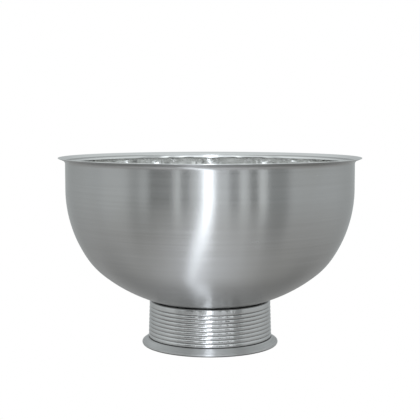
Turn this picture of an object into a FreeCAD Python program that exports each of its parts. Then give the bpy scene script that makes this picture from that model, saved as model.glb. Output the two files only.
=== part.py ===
"""Champagne bowl on a ribbed ring foot, in spun stainless steel.

A deep single-wall bowl with a flared lip sits in a short ribbed collar, which stands on a flared base ring
with a hemmed edge. Inside the foot a nut pulls the bowl's welded stud down through a bridge plate, and so
clamps the bowl on the collar's in-turned seat. Nothing moves in use.

Frame: millimetres, +Z up along the axis of the bowl, origin on the table at the centre of the foot.
Every outline below is a half section in (radius, height), turned about Z.
"""

import FreeCAD, Part
import math
import os

# ---- driving dimensions, mm and degrees ----
RIM_RADIUS = 190.0          # outer edge of the lip
HEIGHT = 237.0              # table to the top of the lip
SHEET = 1.0                 # wall of the bowl, collar and base ring

# bowl
WALL_RADIUS = 181.0         # outside of the upright upper wall
SHOULDER_Z = 198.0          # the upright wall ends and the belly begins
BELLY_ARCS = ((155.0, 34.0), (90.0, 50.5), (193.5, 90.0))   # radius, and the angle where each arc ends
LIP_SLOPE = 22.0            # rise of the lip towards its edge
LIP_BEND = 4.8              # outside radius where the wall turns into the lip

# ribbed collar
COLLAR_TOP = 56.0           # top of the in-turned seat
COLLAR_FOOT = 9.3           # lower edge, resting on the base ring
COLLAR_TOP_RADIUS = 76.8
COLLAR_FOOT_RADIUS = 78.3   # the rib crests widen to this
RIBS = 8
RIB_PITCH = 4.95
RIB_DEPTH = 1.0
FOLD = 1.6                  # sheet measured across the fold between two ribs
COLLAR_SHOULDER = 1.8       # outside radius where the band turns in to the seat
BAND_ROUND = 1.4            # height of the rounding from the plain band into the first groove

# base ring
BASE_RADIUS = 86.5
HEM_RADIUS = 2.3            # outside radius of the hemmed edge
HEM_RETURN = 3.0            # flat strip folded back under the edge, which the foot rests on
SPIGOT_RADIUS = 75.45       # upstand inside the collar
SPIGOT_FOLD = RIBS - 1      # the collar's lowest fold, which the upstand reaches
SPIGOT_RISE = 0.8           # upstand above that fold
LEDGE_RADIUS = 77.5         # end of the level ledge that carries the collar

# bridge plate
PLATE = 1.5
PLATE_RADIUS = 74.8
PLATE_TOP = 36.0            # level outer part
PLATE_BEND = 2.5
PLATE_DISH = (40.0, 26.0)   # radii where the raised centre begins and ends
PLATE_RISE = 5.5
PLATE_FOLD = 4              # the collar's fold that the plate's skirt reaches down to, counted from the top
DRAIN_HOLES = 4
DRAIN_RADIUS = 6.0
DRAIN_CIRCLE = 56.0
TACK_OVERHANG = 0.3         # the plate's skirt ends this far below a fold, where it is tacked

# M8 fixing
STUD_HOLE = 4.2
STUD_RADIUS = 3.97
STUD_END = 27.0
STUD_FLANGE = (12.0, 2.0)   # radius and thickness of the welded flange
STUD_CHAMFER = 1.0
WASHER = (12.0, 4.2, 1.6)   # outer radius, inner radius, thickness
SPRING = (7.4, 4.15, 2.0)
SPRING_GAP = 1.2
SPRING_SLANT = 25.0         # degrees that the gap leans
NUT_SIDES = 6
NUT_FLATS = 13.0
NUT_HEIGHT = 6.5
NUT_BORE = 4.0
NUT_CORNER = 30.0           # angle of the chamfer on the nut's corners

# tack welds
TACKS = 6
TACK_SPAN = 3.6             # degrees round the foot
TACK_REACH = 1.3            # height on the rib
TACK_LAND = 0.75            # width on the sheet's edge
TACK_CROWN = 0.25           # how far the bead's face bulges
PLATE_TACK_START = 0.0      # degrees round the foot where the first bead sits
RING_TACK_START = 30.0

CUT_PAST = 1.0              # how far a cutter runs past the faces that it cuts

AXIS = FreeCAD.Vector(0, 0, 1)
ORIGIN = FreeCAD.Vector(0, 0, 0)


# ---- geometry helpers ----
def point(r, z):
    return FreeCAD.Vector(r, 0, z)


def polar(centre, radius, angle):
    """The (radius, height) point at an angle in degrees round a centre."""
    a = math.radians(angle)
    return centre[0] + radius * math.cos(a), centre[1] + radius * math.sin(a)


def line(start, end):
    return Part.LineSegment(point(*start), point(*end)).toShape()


def arc(centre, radius, a0, a1):
    """A round stretch about a centre, from one angle to the other."""
    ends = [point(*polar(centre, radius, a)) for a in (a0, (a0 + a1) / 2, a1)]
    return Part.Arc(*ends).toShape()


def arc_through(start, middle, end):
    return Part.Arc(point(*start), point(*middle), point(*end)).toShape()


def chain(points):
    return [line(a, b) for a, b in zip(points, points[1:])]


def turned(edges):
    """The solid that a closed half section makes when it turns about Z."""
    solid = Part.Face(Part.Wire(edges)).revolve(ORIGIN, AXIS, 360)
    if solid.Volume < 0:
        solid.reverse()
    return solid


def cylinder(radius, low, high, r=0.0, angle=0.0):
    """An upright cylinder between two heights, r out from the axis."""
    x, y = polar((0, 0), r, angle)
    return Part.makeCylinder(radius, high - low, FreeCAD.Vector(x, y, low), AXIS)


def ring(outer, inner, low, high):
    return cylinder(outer, low, high).cut(cylinder(inner, low, high))


# ---- bowl ----
def belly(offset=0.0):
    """The belly's arcs from the bottom up, moved inwards by offset: centre, radius and the two angles."""
    centre, radius, begin = (WALL_RADIUS - BELLY_ARCS[0][0], SHOULDER_Z), BELLY_ARCS[0][0], 0.0
    arcs = []
    for next_radius, end in BELLY_ARCS:
        centre = polar(centre, radius - next_radius, -begin)
        arcs.append((centre, next_radius - offset, -end, -begin))
        radius, begin = next_radius, end
    return arcs[::-1]


def bowl_bottom():
    """Height of the flat land under the bowl, where the stud is welded."""
    (_, z), radius, _, _ = belly()[0]
    return z - radius


def make_bowl():
    """Spun shell: flat land, belly of three arcs, upright wall and a flared lip with a rounded edge."""
    tip = (RIM_RADIUS - SHEET / 2, HEIGHT - SHEET / 2)
    under = polar(tip, SHEET / 2, LIP_SLOPE - 90)
    over = polar(tip, SHEET / 2, LIP_SLOPE + 90)
    turn = LIP_SLOPE + 90
    bend_r = WALL_RADIUS + LIP_BEND
    touch_r = bend_r + LIP_BEND * math.cos(math.radians(turn))
    touch_z = under[1] - (under[0] - touch_r) * math.tan(math.radians(LIP_SLOPE))
    bend = (bend_r, touch_z - LIP_BEND * math.sin(math.radians(turn)))
    outside, inside = belly(), belly(SHEET)
    land = outside[0][0][0]
    bottom = bowl_bottom()
    edges = [line((0, bottom), (land, bottom))]
    edges += [arc(*a) for a in outside]
    edges += [line((WALL_RADIUS, SHOULDER_Z), (WALL_RADIUS, bend[1]))]
    edges += [arc(bend, LIP_BEND, 180, turn)]
    edges += [line((touch_r, touch_z), under)]
    edges += [arc(tip, SHEET / 2, LIP_SLOPE - 90, LIP_SLOPE + 90)]
    edges += [line(over, polar(bend, LIP_BEND + SHEET, turn))]
    edges += [arc(bend, LIP_BEND + SHEET, turn, 180)]
    edges += [line((WALL_RADIUS - SHEET, bend[1]), (WALL_RADIUS - SHEET, SHOULDER_Z))]
    edges += [arc(c, radius, end, begin) for c, radius, begin, end in inside[::-1]]
    edges += chain([(land, bottom + SHEET), (0, bottom + SHEET), (0, bottom)])
    return turned(edges)


# ---- ribbed collar ----
def groove_z(index):
    """Height of a fold between ribs, counted from the top band."""
    return COLLAR_FOOT + (RIBS - index) * RIB_PITCH


def crest(z):
    """Radius of the rib crests at a height."""
    share = (COLLAR_TOP - z) / (COLLAR_TOP - COLLAR_FOOT)
    return COLLAR_TOP_RADIUS + share * (COLLAR_FOOT_RADIUS - COLLAR_TOP_RADIUS)


def fold(index):
    """The outer and the inner point of a fold between ribs."""
    z = groove_z(index)
    outer = crest(z) - RIB_DEPTH
    return (outer, z), (outer - FOLD, z)


def seat_radius():
    """Radius where the bowl's outside meets the height of the collar's seat."""
    (r, z), radius, _, _ = belly()[0]
    return r + math.sqrt(radius ** 2 - (z - COLLAR_TOP) ** 2)


def band_rounding(band_r, fold_point):
    """The curve from the plain band into the first fold, which stays near the band for its upper half."""
    start = (band_r, groove_z(0) + BAND_ROUND)
    middle = (band_r - (band_r - fold_point[0]) / 4, (start[1] + fold_point[1]) / 2)
    return start, middle, fold_point


def rib_middle(index):
    """Height of the crest of the rib below a fold."""
    return (groove_z(index) + groove_z(index + 1)) / 2


def make_collar():
    """Rolled band with eight convex ribs, a plain band above them and a seat turned in under the bowl."""
    shoulder = (COLLAR_TOP_RADIUS - COLLAR_SHOULDER, COLLAR_TOP - COLLAR_SHOULDER)
    seat = seat_radius()
    outside = band_rounding(COLLAR_TOP_RADIUS, fold(0)[0])
    inside = band_rounding(COLLAR_TOP_RADIUS - SHEET, fold(0)[1])
    edges = [line((seat, COLLAR_TOP), (shoulder[0], COLLAR_TOP))]
    edges += [arc(shoulder, COLLAR_SHOULDER, 90, 0)]
    edges += [line((COLLAR_TOP_RADIUS, shoulder[1]), outside[0])]
    edges += [arc_through(*outside)]
    for i in range(RIBS):
        z = rib_middle(i)
        edges += [arc_through(fold(i)[0], (crest(z), z), fold(i + 1)[0])]
    edges += [line(*fold(RIBS))]
    for i in reversed(range(RIBS)):
        z = rib_middle(i)
        edges += [arc_through(fold(i + 1)[1], (crest(z) - SHEET, z), fold(i)[1])]
    edges += [arc_through(*inside[::-1])]
    edges += [line(inside[0], (COLLAR_TOP_RADIUS - SHEET, shoulder[1]))]
    edges += [arc(shoulder, COLLAR_SHOULDER - SHEET, 0, 90)]
    edges += chain([(shoulder[0], COLLAR_TOP - SHEET), (seat, COLLAR_TOP - SHEET), (seat, COLLAR_TOP)])
    return turned(edges)


# ---- base ring ----
def spigot_edge():
    """Height of the top edge of the base ring's upstand."""
    return groove_z(SPIGOT_FOLD) + SPIGOT_RISE


def make_base_ring():
    """Flared ring: upstand inside the collar, ledge under it, sloping skirt and a hemmed edge."""
    hem = (BASE_RADIUS - HEM_RADIUS, HEM_RADIUS)
    ledge = (LEDGE_RADIUS, COLLAR_FOOT)
    away = math.hypot(hem[0] - ledge[0], ledge[1] - hem[1])
    slope = math.degrees(math.atan2(ledge[1] - hem[1], hem[0] - ledge[0]) - math.asin(HEM_RADIUS / away))
    normal = 90 - slope
    top = COLLAR_FOOT - SHEET
    corner = LEDGE_RADIUS - SHEET * math.tan(math.radians(slope / 2))
    inner = SPIGOT_RADIUS - SHEET
    spigot_top = spigot_edge()
    hem_inside = HEM_RADIUS - SHEET
    end = hem[0] - HEM_RETURN
    edges = chain([(inner, spigot_top), (SPIGOT_RADIUS, spigot_top), (SPIGOT_RADIUS, COLLAR_FOOT), ledge])
    edges += [line(ledge, polar(hem, HEM_RADIUS, normal))]
    edges += [arc(hem, HEM_RADIUS, normal, -90)]
    edges += chain([(hem[0], 0), (end, 0), (end, SHEET), (hem[0], SHEET)])
    edges += [arc(hem, hem_inside, -90, normal)]
    edges += chain([polar(hem, hem_inside, normal), (corner, top), (SPIGOT_RADIUS, top)])
    edges += [arc((SPIGOT_RADIUS, COLLAR_FOOT), SHEET, -90, -180)]
    edges += [line((inner, COLLAR_FOOT), (inner, spigot_top))]
    return turned(edges)


# ---- bridge plate ----
def plate_edge():
    """Height of the bottom edge of the bridge plate's skirt."""
    return groove_z(PLATE_FOLD) - TACK_OVERHANG


def make_bridge_plate():
    """Pressed disc inside the collar with a skirt, a raised centre for the stud and four drain holes."""
    skirt = plate_edge()
    low = PLATE_TOP - PLATE
    bend = (PLATE_RADIUS - PLATE_BEND, PLATE_TOP - PLATE_BEND)
    begin, end = PLATE_DISH
    rise = math.atan2(PLATE_RISE, begin - end)
    shift = PLATE * math.tan(rise / 2)
    high = PLATE_TOP + PLATE_RISE
    edges = chain([(PLATE_RADIUS - PLATE, skirt), (PLATE_RADIUS, skirt), (PLATE_RADIUS, bend[1])])
    edges += [arc(bend, PLATE_BEND, 0, 90)]
    edges += chain([(bend[0], PLATE_TOP), (begin, PLATE_TOP), (end, high), (STUD_HOLE, high)])
    edges += chain([(STUD_HOLE, high), (STUD_HOLE, high - PLATE), (end - shift, high - PLATE)])
    edges += chain([(end - shift, high - PLATE), (begin - shift, low), (bend[0], low)])
    edges += [arc(bend, PLATE_BEND - PLATE, 90, 0)]
    edges += [line((PLATE_RADIUS - PLATE, bend[1]), (PLATE_RADIUS - PLATE, skirt))]
    plate = turned(edges)
    for i in range(DRAIN_HOLES):
        angle = 360.0 * (i + 0.5) / DRAIN_HOLES
        hole = cylinder(DRAIN_RADIUS, low - CUT_PAST, PLATE_TOP + CUT_PAST, DRAIN_CIRCLE, angle)
        plate = plate.cut(hole)
    return plate


# ---- M8 fixing, stacked downwards from the underside of the plate's raised centre ----
WASHER_TOP = PLATE_TOP + PLATE_RISE - PLATE
SPRING_TOP = WASHER_TOP - WASHER[2]
NUT_TOP = SPRING_TOP - SPRING[2]


def make_weld_stud():
    """Round flange welded under the bowl, with an M8 shank down to a chamfered end."""
    top = bowl_bottom()
    radius, thickness = STUD_FLANGE
    under = top - thickness
    tip = STUD_RADIUS - STUD_CHAMFER
    flange = [(0, top), (radius, top), (radius, under), (STUD_RADIUS, under)]
    shank = [(STUD_RADIUS, STUD_END + STUD_CHAMFER), (tip, STUD_END), (0, STUD_END), (0, top)]
    return turned(chain(flange + shank))


def make_flat_washer():
    outer, inner, thickness = WASHER
    return ring(outer, inner, WASHER_TOP - thickness, WASHER_TOP)


def make_spring_washer():
    """Split ring with a slanting gap."""
    outer, inner, thickness = SPRING
    washer = ring(outer, inner, SPRING_TOP - thickness, SPRING_TOP)
    reach, tall = outer + CUT_PAST, thickness + 2 * CUT_PAST
    gap = Part.makeBox(reach, SPRING_GAP, tall, FreeCAD.Vector(0, -SPRING_GAP / 2, -tall / 2))
    gap.rotate(ORIGIN, FreeCAD.Vector(1, 0, 0), SPRING_SLANT)
    gap.translate(FreeCAD.Vector(0, 0, SPRING_TOP - thickness / 2))
    return washer.cut(gap)


def make_hex_nut():
    """M8 nut with its corners chamfered on both faces."""
    low = NUT_TOP - NUT_HEIGHT
    corner = NUT_FLATS / 2 / math.cos(math.pi / NUT_SIDES)
    angles = [360 * i / NUT_SIDES for i in range(NUT_SIDES + 1)]
    corners = [FreeCAD.Vector(*polar((0, 0), corner, angle), low) for angle in angles]
    prism = Part.Face(Part.makePolygon(corners)).extrude(FreeCAD.Vector(0, 0, NUT_HEIGHT))
    flat = NUT_FLATS / 2
    drop = (corner - flat) * math.tan(math.radians(NUT_CORNER))
    below = [(0, low), (flat, low), (corner, low + drop)]
    above = [(corner, NUT_TOP - drop), (flat, NUT_TOP), (0, NUT_TOP), (0, low)]
    barrel = turned(chain(below + above))
    return prism.common(barrel).cut(cylinder(NUT_BORE, low, NUT_TOP))


# ---- tack welds ----
def rib_inside(index):
    """The round inside of the rib below a fold, as (centre, radius)."""
    high_r, low_r = fold(index)[1][0], fold(index + 1)[1][0]
    z = rib_middle(index)
    deepest = crest(z) - SHEET
    bulge = deepest - (low_r + high_r) / 2
    radius = ((RIB_PITCH / 2) ** 2 + bulge ** 2) / (2 * bulge)
    return (deepest - radius, z), radius


def make_tacks(rib, face_z, toe, reach, start):
    """A ring of fillet beads, each from a level sheet edge onto the inside of a collar rib."""
    (centre_r, centre_z), radius = rib_inside(rib)
    heights = (face_z, face_z + reach / 2, face_z + reach)
    heel, middle, top = [(centre_r + math.sqrt(radius ** 2 - (z - centre_z) ** 2), z) for z in heights]
    crown = ((toe + top[0]) / 2 - TACK_CROWN, (face_z + top[1]) / 2 + math.copysign(TACK_CROWN, reach))
    edges = [line((toe, face_z), heel), arc_through(heel, middle, top)]
    edges += [arc_through(top, crown, (toe, face_z))]
    section = Part.Face(Part.Wire(edges))
    beads = []
    for i in range(TACKS):
        bead = section.revolve(ORIGIN, AXIS, TACK_SPAN)
        if bead.Volume < 0:
            bead.reverse()
        bead.rotate(ORIGIN, AXIS, start + 360.0 * i / TACKS - TACK_SPAN / 2)
        beads.append(bead)
    return Part.makeCompound(beads)


def make_plate_tacks():
    """Beads that hang from the plate's skirt, on the rib below the fold that it reaches."""
    return make_tacks(PLATE_FOLD, plate_edge(), PLATE_RADIUS - TACK_LAND, -TACK_REACH, PLATE_TACK_START)


def make_ring_tacks():
    """Beads that stand on the base ring's upstand, on the rib above the lowest fold."""
    return make_tacks(SPIGOT_FOLD - 1, spigot_edge(), SPIGOT_RADIUS - TACK_LAND, TACK_REACH, RING_TACK_START)


def main():
    parts = {
        "bowl_shell": make_bowl(),
        "ribbed_collar": make_collar(),
        "base_ring": make_base_ring(),
        "bridge_plate": make_bridge_plate(),
        "weld_stud": make_weld_stud(),
        "flat_washer": make_flat_washer(),
        "spring_washer": make_spring_washer(),
        "hex_nut": make_hex_nut(),
        "plate_tack_welds": make_plate_tacks(),
        "ring_tack_welds": make_ring_tacks(),
    }
    os.makedirs("parts", exist_ok=True)
    for name, shape in parts.items():
        shape.exportStep(f"parts/{name}.step")
        box = shape.BoundBox
        print(f"{name}: valid {shape.isValid()}, solids {len(shape.Solids)}, {shape.Volume / 1000:.3f} cm3, "
              f"x {box.XMin:.2f}..{box.XMax:.2f}, z {box.ZMin:.2f}..{box.ZMax:.2f}")


main()
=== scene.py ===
"""Looks of the champagne bowl: a spun bowl, satin outside and polished inside, on a polished ribbed foot.

The bowl, the collar, the base ring and the stud are remade as fine turned meshes on the CAD outlines, so
that their curves reflect smoothly. The hidden plate, washers, nut and welds keep their CAD shape. Outlines
are worked out in millimetres, and the meshes are in metres.
"""

import bpy
import math
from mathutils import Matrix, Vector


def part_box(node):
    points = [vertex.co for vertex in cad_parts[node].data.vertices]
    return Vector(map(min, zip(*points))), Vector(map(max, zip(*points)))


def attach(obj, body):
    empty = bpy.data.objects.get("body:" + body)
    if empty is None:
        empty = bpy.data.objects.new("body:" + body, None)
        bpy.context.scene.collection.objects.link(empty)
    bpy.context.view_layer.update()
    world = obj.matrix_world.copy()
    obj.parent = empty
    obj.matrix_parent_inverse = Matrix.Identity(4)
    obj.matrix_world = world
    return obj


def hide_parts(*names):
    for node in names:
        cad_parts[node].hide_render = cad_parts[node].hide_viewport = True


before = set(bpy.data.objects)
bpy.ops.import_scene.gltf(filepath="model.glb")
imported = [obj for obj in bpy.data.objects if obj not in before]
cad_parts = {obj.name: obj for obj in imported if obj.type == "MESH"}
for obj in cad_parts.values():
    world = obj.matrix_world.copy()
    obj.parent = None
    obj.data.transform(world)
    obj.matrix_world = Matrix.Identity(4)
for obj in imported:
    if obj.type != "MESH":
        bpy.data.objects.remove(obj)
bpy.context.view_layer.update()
MM = 0.001
BODY = "root"

# ---- driving sizes of the outlines, in mm and degrees ----
SHEET = 1.0
WALL_RADIUS = 181.0
SHOULDER_Z = 198.0
BELLY_ARCS = ((155.0, 34.0), (90.0, 50.5), (193.5, 90.0))     # radius, angle where the arc ends
LIP_SLOPE = 22.0
LIP_BEND = 4.8
COLLAR_TOP = 56.0
COLLAR_FOOT = 9.3
COLLAR_TOP_RADIUS = 76.8
COLLAR_FOOT_RADIUS = 78.3
RIBS = 8
RIB_PITCH = 4.95
RIB_DEPTH = 1.0
FOLD = 1.6
COLLAR_SHOULDER = 1.8
BAND_ROUND = 1.4
HEM_RADIUS = 2.3
HEM_RETURN = 3.0
SPIGOT_RADIUS = 75.45
SPIGOT_RISE = 0.8
LEDGE_RADIUS = 77.5
STUD_RADIUS = 3.97
STUD_FLANGE = (12.0, 2.0)   # radius, thickness
FLANGE_ROUND = 0.4
SHANK_FILLET = 0.6
STUD_CHAMFER = 0.8
THREAD_PITCH = 1.25
THREAD_DEPTH = 0.55
THREAD_REACH = (0.2, 0.1)   # only points this far inside and outside the stud's radius are cut
THREAD_FLAT = 0.12          # the flat on the crest and in the root, each as a share of the pitch
THREAD_STOP = 3.0           # plain shank left under the flange
THREAD_RUNOUT = 1.5         # over which the thread deepens from the stud's end

NEAR_AXIS = 0.05            # where an outline starts beside the axis
SAME_POINT = 0.004          # points nearer than this are one
INSET = 0.12                # keeps the finer outlines inside the coarser CAD box
TURN_STEPS = 360
STUD_STEPS = 48
THREAD_POINTS = 10          # points of the stud's outline in one pitch
SHARP_ANGLE = 35            # between faces that shade as an edge


def box_mm(node):
    low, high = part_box(node)
    return [v / MM for v in low], [v / MM for v in high]


BOWL_LOW, BOWL_HIGH = box_mm("bowl_shell")
RIM_RADIUS = min(BOWL_HIGH[0], BOWL_HIGH[1]) - INSET
HEIGHT = BOWL_HIGH[2]
BASE_HIGH = box_mm("base_ring")[1]
BASE_RADIUS = min(BASE_HIGH[0], BASE_HIGH[1]) - INSET
STUD_LOW, STUD_HIGH = box_mm("weld_stud")


def clamped(value):
    return min(1.0, max(0.0, value))


# ---- outline helpers: points are (radius, height) in mm ----
def polar(centre, radius, angle):
    a = math.radians(angle)
    return centre[0] + radius * math.cos(a), centre[1] + radius * math.sin(a)


def arc(centre, radius, a0, a1, step=1.0):
    """Points of a round stretch, about step mm apart."""
    count = max(4, math.ceil(abs(math.radians(a1 - a0)) * radius / step))
    return [polar(centre, radius, a0 + (a1 - a0) * i / count) for i in range(count + 1)]


def arc_through(start, middle, end, step=0.35):
    """Points of the round stretch through three points."""
    (ax, ay), (bx, by), (cx, cy) = start, middle, end
    d = 2 * (ax * (by - cy) + bx * (cy - ay) + cx * (ay - by))
    ux = ((ax**2 + ay**2) * (by - cy) + (bx**2 + by**2) * (cy - ay) + (cx**2 + cy**2) * (ay - by)) / d
    uy = ((ax**2 + ay**2) * (cx - bx) + (bx**2 + by**2) * (ax - cx) + (cx**2 + cy**2) * (bx - ax)) / d
    radius = math.hypot(ax - ux, ay - uy)
    a0 = math.degrees(math.atan2(ay - uy, ax - ux))
    a1 = math.degrees(math.atan2(cy - uy, cx - ux))
    middle_angle = math.degrees(math.atan2(by - uy, bx - ux))
    turn = (a1 - a0 + 180) % 360 - 180
    if abs((middle_angle - a0 + 180) % 360 - 180) > abs(turn):
        turn -= math.copysign(360, turn)
    return arc((ux, uy), radius, a0, a0 + turn, step)


def straight(start, end, step=6.0):
    count = max(1, math.ceil(math.dist(start, end) / step))
    return [(start[0] + (end[0] - start[0]) * i / count, start[1] + (end[1] - start[1]) * i / count)
            for i in range(count + 1)]


def joined(*stretches):
    """One outline from stretches that meet end to end."""
    points = []
    for stretch in stretches:
        for p in stretch:
            if not points or math.dist(p, points[-1]) > SAME_POINT:
                points.append(p)
    return points


# ---- turned meshes ----
def signed_area(outline):
    """Twice the area of an outline, negative where its points run clockwise."""
    return sum(a[0] * b[1] - b[0] * a[1] for a, b in zip(outline, outline[1:] + outline[:1]))


def turned(name, outline, wobble=None, steps=TURN_STEPS):
    """A mesh made by turning a closed outline about Z.

    u runs round it, and v is the length along the outline in metres. wobble(turn, radius, z) gives how far a
    point is pushed outwards and upwards, in mm.
    """
    if signed_area(outline) < 0:
        outline = outline[::-1]
    count = len(outline)
    lengths = [0.0]
    for a, b in zip(outline, outline[1:] + outline[:1]):
        lengths.append(lengths[-1] + math.dist(a, b) * MM)
    verts = []
    for k in range(steps):
        turn = 2 * math.pi * k / steps
        for i, (r, z) in enumerate(outline):
            push = wobble(turn, r, z) if wobble else (0.0, 0.0)
            radius = (r + push[0]) * MM
            verts.append((radius * math.sin(turn), radius * math.cos(turn), (z + push[1]) * MM))
    faces = []
    loops_uv = []
    for k in range(steps):
        here, there = k * count, (k + 1) % steps * count
        for i in range(count):
            j = (i + 1) % count
            faces.append((here + i, here + j, there + j, there + i))
            u0, u1 = k / steps, (k + 1) / steps
            loops_uv += [(u0, lengths[i]), (u0, lengths[i + 1]), (u1, lengths[i + 1]), (u1, lengths[i])]
    mesh = bpy.data.meshes.new(name)
    mesh.from_pydata(verts, [], faces)
    uv = mesh.uv_layers.new(name="turned")
    for loop, value in zip(uv.data, loops_uv):
        loop.uv = value
    mesh.validate()
    mesh.shade_smooth()
    mesh.set_sharp_from_angle(angle=math.radians(SHARP_ANGLE))
    obj = bpy.data.objects.new(name, mesh)
    bpy.context.scene.collection.objects.link(obj)
    return obj


def choose_finish(obj, chooser):
    """Gives each face the material slot that chooser(radius, z, normal) names, in mm at the face's centre."""
    for face in obj.data.polygons:
        x, y, z = face.center
        face.material_index = chooser(math.hypot(x, y) / MM, z / MM, face.normal)


def vertex_mask(obj, name, measure):
    """Stores measure(radius, z) as a number per vertex for a material to read."""
    layer = obj.data.attributes.new(name, "FLOAT", "POINT")
    for vertex, item in zip(obj.data.vertices, layer.data):
        x, y, z = vertex.co
        item.value = measure(math.hypot(x, y) / MM, z / MM)


# ---- node helpers ----
class Nodes:
    """A short way to write a node tree."""

    def __init__(self, tree):
        self.tree = tree
        tree.nodes.clear()

    def add(self, kind, inputs=None, **settings):
        node = self.tree.nodes.new(kind)
        for key, value in settings.items():
            setattr(node, key, value)
        for key, value in (inputs or {}).items():
            socket = node.inputs[key]
            if isinstance(value, bpy.types.NodeSocket):
                self.tree.links.new(value, socket)
            else:
                socket.default_value = value
        return node

    def math(self, operation, a, b=0.0):
        return self.add("ShaderNodeMath", {0: a, 1: b}, operation=operation).outputs[0]

    def ramp(self, value, low, high, to_low=0.0, to_high=1.0):
        """Goes smoothly from to_low to to_high while value goes from low to high."""
        return self.add("ShaderNodeMapRange", {"Value": value, "From Min": low, "From Max": high,
                                               "To Min": to_low, "To Max": to_high},
                        interpolation_type="SMOOTHSTEP").outputs["Result"]

    def mix(self, factor, a, b):
        return self.add("ShaderNodeMix", {0: factor, 6: a, 7: b}, data_type="RGBA").outputs[2]

    def noise(self, vector, scale, detail=3.0, rough=0.55):
        return self.add("ShaderNodeTexNoise", {"Vector": vector, "Scale": scale, "Detail": detail,
                                               "Roughness": rough}).outputs["Fac"]

    def bump(self, height, strength, distance, under=None):
        """A bump, distance metres high, that may lie on the bump under it."""
        inputs = {"Height": height, "Strength": strength, "Distance": distance}
        if under is not None:
            inputs["Normal"] = under
        return self.add("ShaderNodeBump", inputs).outputs[0]


def lathe_lines(n, across, along=6.0):
    """Coordinates in which noise makes fine lines round the axis.

    across is how many there are to a metre of outline, and along how often they change in a metre sideways.
    """
    place = n.add("ShaderNodeTexCoord").outputs["Object"]
    uv = n.add("ShaderNodeUVMap", uv_map="turned").outputs["UV"]
    flat = n.add("ShaderNodeSeparateXYZ", {0: place})
    length = n.add("ShaderNodeSeparateXYZ", {0: uv}).outputs[1]
    return n.add("ShaderNodeCombineXYZ", {0: n.math("MULTIPLY", flat.outputs[0], along),
                                          1: n.math("MULTIPLY", flat.outputs[1], along),
                                          2: n.math("MULTIPLY", length, across)}).outputs[0]


def round_axis(n):
    """The direction round the Z axis, for the brushed finishes."""
    return n.add("ShaderNodeTangent", direction_type="RADIAL", axis="Z").outputs[0]


def new_material(name):
    material = bpy.data.materials.new(name)
    material.use_nodes = True
    return material, Nodes(material.node_tree)


def finish_material(n, shader):
    n.add("ShaderNodeOutputMaterial", {"Surface": shader})


# ---- finishes ----
SATIN_DARK = (0.53, 0.53, 0.527, 1)
SATIN_LIGHT = (0.58, 0.58, 0.58, 1)
SATIN_STAIN = (0.50, 0.49, 0.465, 1)
INSIDE_LIGHT = (0.94, 0.94, 0.935, 1)
INSIDE_DARK = (0.88, 0.875, 0.865, 1)
FOOT_STEEL = (0.66, 0.66, 0.66, 1)
BASE_STEEL = (0.80, 0.80, 0.80, 1)
# painted shade: the near-black that the fold mask mixes into the foot's polish
PAINTED_SHADE = (0.055, 0.052, 0.048, 1)
PLATE_STEEL = ((0.50, 0.50, 0.495, 1), (0.40, 0.395, 0.385, 1))
WELD_STEEL = ((0.42, 0.41, 0.40, 1), (0.25, 0.235, 0.225, 1))
WELD_TINT = (0.34, 0.24, 0.15, 1)
FASTENER_STEEL = ((0.55, 0.55, 0.545, 1), (0.42, 0.415, 0.405, 1))
SMEAR_TURN = 0.25           # a quarter turn, so that reflections are drawn out along the outline
LINE_SHADE = 0.95           # the turning lines' colour, as a share
WEAR = 0.3                  # how far the clouding goes towards the dark colour
FOOT_CLOUD = 0.82           # the foot's dark colour, as a share of its light one


def darker(colour, share):
    return [c * share for c in colour[:3]] + [1]


def satin_outside():
    """Spun steel with fine lines round the axis; reflections are drawn out along the outline."""
    material, n = new_material("satin_outside")
    place = n.add("ShaderNodeTexCoord").outputs["Object"]
    fine = n.noise(lathe_lines(n, 2600.0), 1.0, 4.0, 0.7)
    broad = n.noise(lathe_lines(n, 420.0, 3.0), 1.0, 3.0, 0.6)
    cloud = n.noise(place, 9.0, 3.0)
    smear = n.noise(place, 38.0, 5.0, 0.6)
    lines = n.math("ADD", n.math("MULTIPLY", fine, 0.5), n.math("MULTIPLY", broad, 0.5))
    colour = n.mix(n.ramp(lines, 0.3, 0.7), SATIN_DARK, SATIN_LIGHT)
    colour = n.mix(n.ramp(cloud, 0.35, 0.7, 0.0, 0.35), colour, SATIN_STAIN)
    rough = n.math("ADD", n.ramp(lines, 0.25, 0.75, 0.23, 0.27), n.ramp(smear, 0.5, 0.75, 0.0, 0.015))
    dents = n.noise(place, 14.0, 2.0)
    grain = n.noise(place, 420.0, 2.0)
    bump = n.bump(dents, 0.10, 0.0006)
    bump = n.bump(grain, 0.25, 0.00012, bump)
    bump = n.bump(lines, 0.08, 0.00004, bump)
    shader = n.add("ShaderNodeBsdfPrincipled", {"Base Color": colour, "Metallic": 1.0, "Roughness": rough,
                                                "Anisotropic": 1.0, "Anisotropic Rotation": SMEAR_TURN,
                                                "Tangent": round_axis(n), "Normal": bump})
    finish_material(n, shader.outputs[0])
    return material


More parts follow.
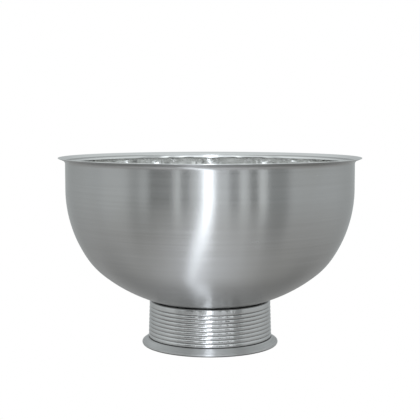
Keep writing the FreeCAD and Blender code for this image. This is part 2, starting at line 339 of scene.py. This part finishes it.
def polished(name, light, dark, rough, lines, waves, wave_strength, brushed=0.0):
    """Polished steel with faint turning lines, soft clouding and small wear marks.

    waves is the scale of its shallow unevenness, and brushed is how far reflections are drawn out.
    """
    material, n = new_material(name)
    place = n.add("ShaderNodeTexCoord").outputs["Object"]
    line_noise = n.noise(lathe_lines(n, lines), 1.0, 3.0, 0.6)
    cloud = n.noise(place, 22.0, 4.0)
    marks = n.noise(place, 160.0, 4.0, 0.7)
    colour = n.mix(n.ramp(line_noise, 0.3, 0.7), light, darker(light, LINE_SHADE))
    colour = n.mix(n.ramp(cloud, 0.4, 0.75, 0.0, WEAR), colour, dark)
    line_rough = n.ramp(line_noise, 0.3, 0.7, rough, rough * 1.35)
    roughness = n.math("ADD", line_rough, n.ramp(marks, 0.58, 0.75, 0.0, 0.06))
    bump = n.bump(n.noise(place, waves, 2.0), wave_strength, 0.0006)
    bump = n.bump(line_noise, 0.05, 0.00003, bump)
    shader = n.add("ShaderNodeBsdfPrincipled", {"Base Color": colour, "Metallic": 1.0, "Roughness": roughness,
                                                "Normal": bump, "Anisotropic": brushed,
                                                "Anisotropic Rotation": SMEAR_TURN})
    if brushed:
        n.tree.links.new(round_axis(n), shader.inputs["Tangent"])
    finish_material(n, shader.outputs[0])
    return material, n, shader, colour, roughness


def polished_inside():
    return polished("polished_inside", INSIDE_LIGHT, INSIDE_DARK, rough=0.035, lines=900.0,
                    waves=42.0, wave_strength=0.24)[0]


def foot_finish(name, light, rough, brushed):
    """The foot's polish, with painted shade: near black and dulled down in the folds, the crease under the
    collar and the lower edge.
    """
    dark = darker(light, FOOT_CLOUD)
    material, n, shader, colour, roughness = polished(name, light, dark, rough, lines=1500.0, waves=230.0,
                                                      wave_strength=0.32, brushed=brushed)
    # the fold attribute is a painted shade mask: it darkens the colour and also raises the roughness
    fold = n.add("ShaderNodeAttribute", attribute_name="fold").outputs["Fac"]
    shaded = n.mix(n.ramp(fold, 0.25, 1.0), colour, PAINTED_SHADE)
    dull = n.math("ADD", roughness, n.ramp(fold, 0.2, 1.0, 0.0, 0.35))
    n.tree.links.new(shaded, shader.inputs["Base Color"])
    n.tree.links.new(dull, shader.inputs["Roughness"])
    return material


def plain_steel(name, colours, rough, scale, bump_size=0.00005, tint=None):
    """Unpolished steel: rolled or turned surface with grain, stains and small pits."""
    material, n = new_material(name)
    place = n.add("ShaderNodeTexCoord").outputs["Object"]
    grain = n.noise(place, scale * 6.0, 5.0, 0.65)
    stain = n.noise(place, scale, 4.0, 0.6)
    pits = n.add("ShaderNodeTexVoronoi", {"Vector": place, "Scale": scale * 9.0}).outputs["Distance"]
    colour = n.mix(n.ramp(stain, 0.35, 0.7), *colours)
    if tint:
        colour = n.mix(n.ramp(grain, 0.45, 0.75, 0.0, 0.6), colour, tint)
    roughness = n.math("ADD", n.ramp(grain, 0.3, 0.7, rough, rough + 0.12), n.ramp(pits, 0.0, 0.2, 0.12, 0.0))
    shader = n.add("ShaderNodeBsdfPrincipled", {"Base Color": colour, "Metallic": 1.0, "Roughness": roughness,
                                                "Normal": n.bump(grain, 0.4, bump_size)})
    finish_material(n, shader.outputs[0])
    return material


# ---- bowl ----
SPUN_FROM = 60.0            # radius where the waviness starts
SPUN_GROWTH = 60.0          # and over which it grows
LOBES = 0.035               # height of the three lobes round the bowl
FLUTES = 0.02               # of the seven leaning ones
FLUTE_LEAN = 23.0           # height for each radian that their phase moves on
RINGS = 0.012               # and of the rings that the spinning tool leaves
RING_RISE = 4.2             # height for each radian of theirs
LIP_CALM = 3.0              # width of the true edge, and of the change to it
DOWNWARD = -0.1             # a normal's z below this faces down


def belly(offset=0.0):
    """The belly's arcs from the bottom up, as (centre, radius, start angle, end angle)."""
    centre, radius, begin = (WALL_RADIUS - BELLY_ARCS[0][0], SHOULDER_Z), BELLY_ARCS[0][0], 0.0
    arcs = []
    for next_radius, end in BELLY_ARCS:
        centre = polar(centre, radius - next_radius, -begin)
        arcs.append((centre, next_radius - offset, -end, -begin))
        radius, begin = next_radius, end
    return arcs[::-1]


def bowl_outline():
    tip = (RIM_RADIUS - SHEET / 2, HEIGHT - SHEET / 2)
    turn = LIP_SLOPE + 90
    under = polar(tip, SHEET / 2, LIP_SLOPE - 90)
    over = polar(tip, SHEET / 2, turn)
    bend_r = WALL_RADIUS + LIP_BEND
    touch_r = bend_r + LIP_BEND * math.cos(math.radians(turn))
    touch_z = under[1] - (under[0] - touch_r) * math.tan(math.radians(LIP_SLOPE))
    bend = (bend_r, touch_z - LIP_BEND * math.sin(math.radians(turn)))
    outside, inside = belly(), belly(SHEET)
    land, bottom = outside[0][0][0], BOWL_LOW[2]
    stretches = [straight((NEAR_AXIS, bottom), (land, bottom), 2.0)]
    stretches += [arc(*a, 3.0) for a in outside]
    stretches += [straight((WALL_RADIUS, SHOULDER_Z), (WALL_RADIUS, bend[1]), 3.0)]
    stretches += [arc(bend, LIP_BEND, 180, turn, 0.5)]
    stretches += [straight((touch_r, touch_z), under, 1.0)]
    stretches += [arc(tip, SHEET / 2, LIP_SLOPE - 90, turn, 0.15)]
    stretches += [straight(over, polar(bend, LIP_BEND + SHEET, turn), 1.0)]
    stretches += [arc(bend, LIP_BEND + SHEET, turn, 180, 0.5)]
    stretches += [straight((WALL_RADIUS - SHEET, bend[1]), (WALL_RADIUS - SHEET, SHOULDER_Z), 3.0)]
    stretches += [arc(c, radius, end, begin, 3.0) for c, radius, begin, end in inside[::-1]]
    stretches += [straight((land, bottom + SHEET), (NEAR_AXIS, bottom + SHEET), 2.0)]
    return joined(*stretches)


def make_bowl():
    """Spun shell with slight hand-spun waviness, satin outside and polished from the lip inwards."""
    def spun(turn, r, z):
        wave = LOBES * math.sin(3 * turn + 0.4) + FLUTES * math.sin(7 * turn + z / FLUTE_LEAN)
        wave += RINGS * math.sin(z / RING_RISE)
        share = clamped((r - SPUN_FROM) / SPUN_GROWTH)
        calm = clamped((RIM_RADIUS - LIP_CALM - r) / LIP_CALM)
        return wave * share * calm, 0.0
    obj = turned("bowl", bowl_outline(), wobble=spun)

    def finish(r, z, normal):
        """0 for the satin outside and the lip's underside, 1 for the polished inside and the lip's top."""
        if r > WALL_RADIUS + SHEET:
            satin = normal.z < DOWNWARD
        elif z > SHOULDER_Z:
            satin = r > WALL_RADIUS - SHEET / 2
        else:
            satin = normal.z < 0
        return 0 if satin else 1
    obj.data.materials.append(satin_outside())
    obj.data.materials.append(polished_inside())
    choose_finish(obj, finish)
    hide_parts("bowl_shell")
    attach(obj, BODY)


# ---- ribbed collar ----
ROLL_LOBES = 0.02           # height of the five leaning lobes that rolling leaves round the collar
ROLL_LEAN = 9.0             # height for each radian that their phase moves on
ROLL_RIPPLE = 0.01          # of the eleven smaller ones
RIB_SWAY = 0.015            # and how far the ribs rise and fall
FOLD_START = 0.6            # depth where a fold's painted shade and dulling start, as a share of a rib's
BEHIND_RIBS = 1.2           # deeper points lie on the sheet's hidden side
# painted shade and dulling on the sheet's hidden side
BEHIND_SHADE = 0.5


def groove_z(index):
    return COLLAR_FOOT + (RIBS - index) * RIB_PITCH


def rib_middle(index):
    return (groove_z(index) + groove_z(index + 1)) / 2


def crest(z):
    share = (COLLAR_TOP - z) / (COLLAR_TOP - COLLAR_FOOT)
    return COLLAR_TOP_RADIUS + share * (COLLAR_FOOT_RADIUS - COLLAR_TOP_RADIUS)


def fold(index):
    """The outer and the inner point of a fold between ribs."""
    z = groove_z(index)
    outer = crest(z) - RIB_DEPTH
    return (outer, z), (outer - FOLD, z)


def seat_radius():
    (r, z), radius, _, _ = belly()[0]
    return r + math.sqrt(radius ** 2 - (z - COLLAR_TOP) ** 2)


def collar_outline():
    shoulder = (COLLAR_TOP_RADIUS - COLLAR_SHOULDER, COLLAR_TOP - COLLAR_SHOULDER)
    seat = seat_radius()
    band_end = groove_z(0) + BAND_ROUND
    top_fold, top_inside = fold(0)
    inside_r = COLLAR_TOP_RADIUS - SHEET
    quarter = (COLLAR_TOP_RADIUS - top_fold[0]) / 4
    stretches = [straight((seat, COLLAR_TOP), (shoulder[0], COLLAR_TOP), 0.5)]
    stretches += [arc(shoulder, COLLAR_SHOULDER, 90, 0, 0.25)]
    stretches += [straight((COLLAR_TOP_RADIUS, shoulder[1]), (COLLAR_TOP_RADIUS, band_end), 0.8)]
    middle = (COLLAR_TOP_RADIUS - quarter, (band_end + top_fold[1]) / 2)
    stretches += [arc_through((COLLAR_TOP_RADIUS, band_end), middle, top_fold, 0.2)]
    for i in range(RIBS):
        z = rib_middle(i)
        stretches += [arc_through(fold(i)[0], (crest(z), z), fold(i + 1)[0])]
    stretches += [straight(*fold(RIBS), 0.5)]
    for i in reversed(range(RIBS)):
        z = rib_middle(i)
        stretches += [arc_through(fold(i + 1)[1], (crest(z) - SHEET, z), fold(i)[1], 1.0)]
    stretches += [straight(top_inside, (inside_r, band_end), 0.5)]
    stretches += [straight((inside_r, band_end), (inside_r, shoulder[1]), 0.8)]
    stretches += [arc(shoulder, COLLAR_SHOULDER - SHEET, 0, 90, 0.3)]
    stretches += [straight((shoulder[0], COLLAR_TOP - SHEET), (seat, COLLAR_TOP - SHEET), 0.5)]
    return joined(*stretches)


def painted_fold_shade(r, z):
    """Painted shade: 1 down in a fold between ribs, falling to 0 on the crests and on the plain band."""
    if z > groove_z(0) + BAND_ROUND or z < COLLAR_FOOT - SHEET / 2:
        return 0.0
    depth = (crest(z) - r) / RIB_DEPTH
    if depth >= BEHIND_RIBS:
        return BEHIND_SHADE
    return clamped((depth - FOLD_START) / (1 - FOLD_START))


def make_collar(material):
    def rolled(turn, r, z):
        out = ROLL_LOBES * math.sin(5 * turn + z / ROLL_LEAN) + ROLL_RIPPLE * math.sin(11 * turn)
        return out, RIB_SWAY * math.sin(4 * turn + 1.0)
    obj = turned("ribbed_foot", collar_outline(), wobble=rolled)
    vertex_mask(obj, "fold", painted_fold_shade)
    obj.data.materials.append(material)
    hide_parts("ribbed_collar")
    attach(obj, BODY)


# ---- base ring ----
CREASE = (0.4, 1.1)         # past the ledge's edge: full painted shade, none
LAND_TOP = 0.1              # the flat land that the ring stands on lies below this
# painted shade and dulling on the land that the ring stands on
LAND_SHADE = 0.3
EDGE_SHADE = (1.4, 2.2, 0.75)    # heights on the lower edge: full painted shade, none; and its strength, which also dulls


def base_outline():
    hem = (BASE_RADIUS - HEM_RADIUS, HEM_RADIUS)
    ledge = (LEDGE_RADIUS, COLLAR_FOOT)
    away = math.hypot(hem[0] - ledge[0], ledge[1] - hem[1])
    slope = math.degrees(math.atan2(ledge[1] - hem[1], hem[0] - ledge[0]) - math.asin(HEM_RADIUS / away))
    normal = 90 - slope
    top = COLLAR_FOOT - SHEET
    corner = LEDGE_RADIUS - SHEET * math.tan(math.radians(slope / 2))
    inner = SPIGOT_RADIUS - SHEET
    spigot_top = groove_z(RIBS - 1) + SPIGOT_RISE
    inside = HEM_RADIUS - SHEET
    end = hem[0] - HEM_RETURN
    stretches = [straight((inner, spigot_top), (SPIGOT_RADIUS, spigot_top), 0.4)]
    stretches += [straight((SPIGOT_RADIUS, spigot_top), (SPIGOT_RADIUS, COLLAR_FOOT), 1.0)]
    stretches += [straight((SPIGOT_RADIUS, COLLAR_FOOT), ledge, 0.5)]
    stretches += [straight(ledge, polar(hem, HEM_RADIUS, normal), 0.8)]
    stretches += [arc(hem, HEM_RADIUS, normal, -90, 0.2)]
    stretches += [straight((hem[0], 0), (end, 0), 0.8)]
    stretches += [straight((end, 0), (end, SHEET), 0.4)]
    stretches += [straight((end, SHEET), (hem[0], SHEET), 0.8)]
    stretches += [arc(hem, inside, -90, normal, 0.15)]
    stretches += [straight(polar(hem, inside, normal), (corner, top), 0.8)]
    stretches += [straight((corner, top), (SPIGOT_RADIUS, top), 0.5)]
    stretches += [arc((SPIGOT_RADIUS, COLLAR_FOOT), SHEET, -90, -180, 0.25)]
    stretches += [straight((inner, COLLAR_FOOT), (inner, spigot_top), 1.0)]
    return joined(*stretches)


def make_base_ring(material):
    obj = turned("flared_base", base_outline())

    def dull(r, z):
        """Painted shade: 1 in the crease under the collar, less on the lower edge by the floor, least on the
        land under it.
        """
        if z > BASE_HIGH[2] / 3:
            full, none = CREASE
            return clamped((LEDGE_RADIUS + none - r) / (none - full))
        if z < LAND_TOP:
            return LAND_SHADE
        full, none, most = EDGE_SHADE
        return most * clamped((none - z) / (none - full))
    vertex_mask(obj, "fold", dull)
    obj.data.materials.append(material)
    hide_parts("base_ring")
    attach(obj, BODY)


# ---- stud with a real thread ----
def stud_outline(top, shank_top, end):
    edge = STUD_FLANGE[0] - FLANGE_ROUND
    foot = STUD_RADIUS + SHANK_FILLET
    tip = STUD_RADIUS - STUD_CHAMFER
    stretches = [straight((NEAR_AXIS, top), (edge, top), 2.0)]
    stretches += [arc((edge, top - FLANGE_ROUND), FLANGE_ROUND, 90, 0, 0.15)]
    stretches += [arc((edge, shank_top + FLANGE_ROUND), FLANGE_ROUND, 0, -90, 0.15)]
    stretches += [straight((edge, shank_top), (foot, shank_top), 1.5)]
    stretches += [arc((foot, shank_top - SHANK_FILLET), SHANK_FILLET, 90, 180, 0.2)]
    stretches += [straight((STUD_RADIUS, shank_top - SHANK_FILLET), (STUD_RADIUS, end + STUD_CHAMFER),
                           THREAD_PITCH / THREAD_POINTS)]
    stretches += [straight((STUD_RADIUS, end + STUD_CHAMFER), (tip, end), 0.3)]
    stretches += [straight((tip, end), (NEAR_AXIS, end), 1.0)]
    return joined(*stretches)


def make_stud(material):
    top, end = STUD_HIGH[2], STUD_LOW[2]
    shank_top = top - STUD_FLANGE[1]
    nearest, farthest = STUD_RADIUS - THREAD_REACH[0], STUD_RADIUS + THREAD_REACH[1]

    def threaded(turn, r, z):
        if r < nearest or r > farthest or z > shank_top - THREAD_STOP:
            return 0.0, 0.0
        phase = (z / THREAD_PITCH - turn / (2 * math.pi)) % 1.0
        flank = abs(phase * 2 - 1)
        fade = min(1.0, (z - end) / THREAD_RUNOUT)
        return -THREAD_DEPTH * clamped((flank - THREAD_FLAT) / (1 - 2 * THREAD_FLAT)) * fade, 0.0
    obj = turned("threaded_stud", stud_outline(top, shank_top, end), wobble=threaded, steps=STUD_STEPS)
    obj.data.materials.append(material)
    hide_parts("weld_stud")
    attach(obj, BODY)


def dress_cad_nodes(fastener):
    """Procedural finishes on the CAD pieces that keep their shape."""
    plate = plain_steel("mill_plate", PLATE_STEEL, rough=0.30, scale=30.0)
    weld = plain_steel("weld_bead", WELD_STEEL, rough=0.38, scale=220.0, bump_size=0.0002, tint=WELD_TINT)
    finishes = {
        "bridge_plate": plate,
        "flat_washer": fastener,
        "spring_washer": fastener,
        "hex_nut": fastener,
        "plate_tack_welds": weld,
        "ring_tack_welds": weld,
    }
    for name, material in finishes.items():
        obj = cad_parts[name]
        for slot in obj.material_slots:
            slot.material = material


# ---- studio ----
# In the room's directions x goes right, y away from the camera and z up, each from -1 to 1. Dip is the angle
# below eye level in degrees, through straight down (90) and on towards the back. Pairs of z, y or dip are
# where a change starts and ends.
BACKDROP = 1.0              # what the camera sees behind the object
INSIDE_BOUNCES = 12         # how often light may be reflected on its way across the polished inside
LOW, LEVEL, HIGH = 0.43, 0.60, 1.00     # the room in reflections: below, at eye level and overhead
RISE = 0.17                 # how much brighter the upper walls are than eye level
LOWER_WALLS = (-0.55, 0.05)
UPPER_WALLS = (0.15, 0.6)
CEILING = (0.78, 0.97)
BEHIND = 0.80               # the room behind the object, as a share
BACK_WALLS = (105.0, 150.0)             # degrees from the front where that starts and is complete
SHADE = 0.66                # the floor in the shade behind the foot, as a share
SHADE_BACK = (0.0, 0.6)
SHADE_DOWN = (-0.75, -0.45)
WALLS = (0.935, 0.99, 1.0, 1)           # colour of the light from the walls
GROUND = (0.985, 0.995, 0.98, 1)        # and from the floor
GROUND_TO_WALLS = (-0.5, 0.0)
DAYLIGHT = (0.925, 0.985, 1.07, 1)      # and of the key light
# lighter and darker uprights: (degrees right of the front, half width, soft edge, gain, lowest z, highest z)
UPRIGHTS = (
    (-78.0, 8.0, 12.0, 1.12, -0.4, 0.6),
    (-58.0, 6.0, 10.0, 0.80, -0.6, -0.1),
    (-60.0, 2.0, 5.0, 0.82, -0.2, 0.6),
    (-53.0, 1.0, 3.5, 1.12, -0.2, 0.6),
    (-37.4, 6.8, 5.4, 0.08, -0.16, 0.22),
    (-24.2, 0.8, 3.5, 1.34, -0.3, 0.6),
    (-18.9, 2.5, 2.2, 0.0, -0.13, 0.24),
    (-13.5, 1.0, 3.0, 0.85, -0.3, 0.6),
    (18.6, 2.9, 2.2, 0.0, -0.13, 0.24),
    (24.4, 1.4, 3.5, 1.32, -0.2, 0.6),
    (33.4, 2.0, 2.4, 0.0, -0.14, 0.24),
    (41.2, 1.2, 4.0, 1.75, -0.2, 0.6),
    (53.5, 5.0, 9.0, 0.62, -0.55, 0.6),
    (0.0, 20.0, 22.0, 1.40, 0.34, 0.60),
)
UPRIGHT_FADE = 0.06
FRONT_HALF = (-0.15, 0.3)   # the key light and its spill stand in front,
WELL_BELOW = (-0.5, -0.3)   # and go on under the object
KEY_WIDTH = (0.004, 0.118)  # across the tall key light: full strength, none
KEY_STRENGTH = 2.4
KEY_LEAN = (0.010, 0.19)    # how far left of the front it stands at eye level, and how far down below
KEY_LEAN_DIP = 70.0         # where it leans most
KEY_RETURN = (92.0, 110.0, 0.15)        # where it comes back towards the middle, and by how much
KEY_SPREAD = 0.65           # its width down below, as a share
KEY_SPREAD_DIP = (20.0, 90.0)
KEY_LOW = 0.24              # its strength down below, as a share
KEY_LOW_DIP = (30.0, 88.0)
KEY_UNDER = 0.40            # how much of it comes back under the bowl, as a share
KEY_END_DIP = (125.0, 155.0)
KEY_TOP = (0.80, 0.99)      # where it ends overhead
GLOW = (0.22, 0.38)         # soft spill round the key light, at eye level and below
GLOW_DIP = (10.0, 60.0)
GLOW_END = (78.0, 112.0, 0.25)          # where it weakens under the bowl, and to what share
GLOW_REACH = 0.8            # how far to each side it spreads
GLOW_LEAN = (-0.05, 0.14)   # how far left of the front its middle is, at eye level and below
GLOW_LEAN_DIP = 130.0


def room_level(n, azimuth, z):
    level = n.math("ADD", n.ramp(z, *LOWER_WALLS, LOW, LEVEL), n.ramp(z, *UPPER_WALLS, 0.0, RISE))
    level = n.math("ADD", level, n.ramp(z, *CEILING, 0.0, HIGH - LEVEL - RISE))
    return n.math("MULTIPLY", level, n.ramp(n.math("ABSOLUTE", azimuth), *BACK_WALLS, 1.0, BEHIND))


def upright_gains(n, azimuth, z):
    """All the uprights' gains multiplied together."""
    gains = 1.0
    for centre, half, soft, gain, bottom, top in UPRIGHTS:
        offset = n.math("ABSOLUTE", n.math("SUBTRACT", azimuth, centre))
        under_top = n.ramp(z, top - UPRIGHT_FADE, top + UPRIGHT_FADE, 1.0, 0.0)
        over_bottom = n.ramp(z, bottom - UPRIGHT_FADE, bottom + UPRIGHT_FADE, 0.0, 1.0)
        reach = n.math("MULTIPLY", under_top, over_bottom)
        band = n.math("MULTIPLY", n.ramp(offset, half, half + soft, 1.0, 0.0), reach)
        gains = n.math("MULTIPLY", n.math("ADD", n.math("MULTIPLY", band, gain - 1.0), 1.0), gains)
    return gains


def floor_shade(n, y, z):
    behind = n.math("MULTIPLY", n.ramp(y, *SHADE_BACK), n.ramp(z, *SHADE_DOWN, 1.0, 0.0))
    return n.math("ADD", n.math("MULTIPLY", behind, SHADE - 1.0), 1.0)


def dip_angle(n, front, z):
    down = n.math("MULTIPLY", n.math("MINIMUM", z, 0.0), -1.0)
    dip = n.math("MULTIPLY", n.math("ARCTAN2", down, front), 180 / math.pi)
    return n.math("MULTIPLY", dip, n.math("LESS_THAN", z, 0.0))


def key_light(n, x, z, dip, facing):
    back_from, back_to, back_by = KEY_RETURN
    lean = n.ramp(dip, 0.0, KEY_LEAN_DIP, *KEY_LEAN)
    lean = n.math("SUBTRACT", lean, n.ramp(dip, back_from, back_to, 0.0, back_by))
    side = n.math("ABSOLUTE", n.math("ADD", x, lean))
    across = n.math("DIVIDE", side, n.ramp(dip, *KEY_SPREAD_DIP, 1.0, KEY_SPREAD))
    returned = n.ramp(dip, back_from, back_to, 0.0, KEY_UNDER)
    fade = n.math("ADD", n.ramp(dip, *KEY_LOW_DIP, 1.0, KEY_LOW), returned)
    fade = n.math("MULTIPLY", fade, n.ramp(dip, *KEY_END_DIP, 1.0, 0.0))
    fade = n.math("MULTIPLY", n.math("MULTIPLY", fade, n.ramp(z, *KEY_TOP, 1.0, 0.0)), facing)
    return n.math("MULTIPLY", n.ramp(across, *KEY_WIDTH, KEY_STRENGTH, 0.0), fade)


def key_spill(n, x, dip, facing, gains):
    """The soft glow round the key light, which the uprights stand in front of."""
    end_from, end_to, end_share = GLOW_END
    side = n.math("ABSOLUTE", n.math("ADD", x, n.ramp(dip, 0.0, GLOW_LEAN_DIP, *GLOW_LEAN)))
    spill = n.ramp(side, 0.0, GLOW_REACH, 1.0, 0.0)
    depth = n.math("MULTIPLY", n.ramp(dip, *GLOW_DIP, *GLOW), n.ramp(dip, end_from, end_to, 1.0, end_share))
    return n.math("MULTIPLY", n.math("MULTIPLY", spill, depth), n.math("MULTIPLY", facing, gains))


def studio_world():
    """White to the camera; in reflections a soft room with a tall key light, and uprights in front."""
    world = bpy.data.worlds.new("studio")
    bpy.context.scene.world = world
    world.use_nodes = True
    n = Nodes(world.node_tree)
    x, y, z = n.add("ShaderNodeSeparateXYZ", {0: n.add("ShaderNodeTexCoord").outputs["Generated"]}).outputs
    front = n.math("MULTIPLY", y, -1.0)
    azimuth = n.math("MULTIPLY", n.math("ARCTAN2", x, front), 180 / math.pi)
    dip = dip_angle(n, front, z)
    facing = n.math("MAXIMUM", n.ramp(y, *FRONT_HALF, 1.0, 0.0), n.ramp(z, *WELL_BELOW, 1.0, 0.0))
    gains = upright_gains(n, azimuth, z)
    level = n.math("MULTIPLY", room_level(n, azimuth, z), gains)
    level = n.math("MULTIPLY", level, floor_shade(n, y, z))
    lights = n.math("ADD", key_light(n, x, z, dip, facing), key_spill(n, x, dip, facing, gains))
    walls = n.mix(n.ramp(z, *GROUND_TO_WALLS), GROUND, WALLS)
    room = n.add("ShaderNodeBackground", {"Color": walls, "Strength": level})
    lamp = n.add("ShaderNodeBackground", {"Color": DAYLIGHT, "Strength": lights})
    light = n.add("ShaderNodeAddShader", {0: room.outputs[0], 1: lamp.outputs[0]})
    white = n.add("ShaderNodeBackground", {"Color": (1, 1, 1, 1), "Strength": BACKDROP})
    eye = n.add("ShaderNodeLightPath").outputs["Is Camera Ray"]
    mixed = n.add("ShaderNodeMixShader", {0: eye, 1: light.outputs[0], 2: white.outputs[0]})
    n.add("ShaderNodeOutputWorld", {"Surface": mixed.outputs[0]})


FLOOR_HALF = 30.0           # metres
FLOOR_DROP = 0.0002         # the floor lies this far below the foot, so that the two don't meet


def studio_floor():
    """A pale floor that the camera sees; the room's own lower half stands for it in reflections."""
    mesh = bpy.data.meshes.new("studio_floor")
    half = FLOOR_HALF
    corners = [(-half, -half, 0), (half, -half, 0), (half, half, 0), (-half, half, 0)]
    mesh.from_pydata(corners, [], [(0, 1, 2, 3)])
    floor = bpy.data.objects.new("studio_floor", mesh)
    floor.location.z = -FLOOR_DROP
    floor.visible_glossy = False
    bpy.context.scene.collection.objects.link(floor)
    material, n = new_material("pale_floor")
    finish_material(n, n.add("ShaderNodeEmission", {"Color": (1, 1, 1, 1), "Strength": BACKDROP}).outputs[0])
    mesh.materials.append(material)


SENSOR_WIDTH = 36.0         # mm
LENS = 86.6                 # mm
CAMERA_BACK = 1.274         # metres in front of the object's axis
CAMERA_UP = 0.288           # metres above the table
CAMERA_TILT = 5.3           # degrees down from level


def camera():
    data = bpy.data.cameras.new("camera")
    data.sensor_width = SENSOR_WIDTH
    data.lens = LENS
    obj = bpy.data.objects.new("camera", data)
    obj.location = (0.0, -CAMERA_BACK, CAMERA_UP)
    obj.rotation_euler = (math.radians(90 - CAMERA_TILT), 0, 0)
    bpy.context.scene.collection.objects.link(obj)
    bpy.context.scene.camera = obj


def main():
    fastener = plain_steel("fastener_steel", FASTENER_STEEL, rough=0.26, scale=120.0)
    make_bowl()
    make_collar(foot_finish("polished_foot", FOOT_STEEL, rough=0.13, brushed=0.65))
    make_base_ring(foot_finish("polished_base", BASE_STEEL, rough=0.40, brushed=1.0))
    make_stud(fastener)
    dress_cad_nodes(fastener)
    studio_world()
    studio_floor()
    camera()
    scene = bpy.context.scene
    scene.view_settings.view_transform = "Standard"
    scene.cycles.glossy_bounces = INSIDE_BOUNCES


main()
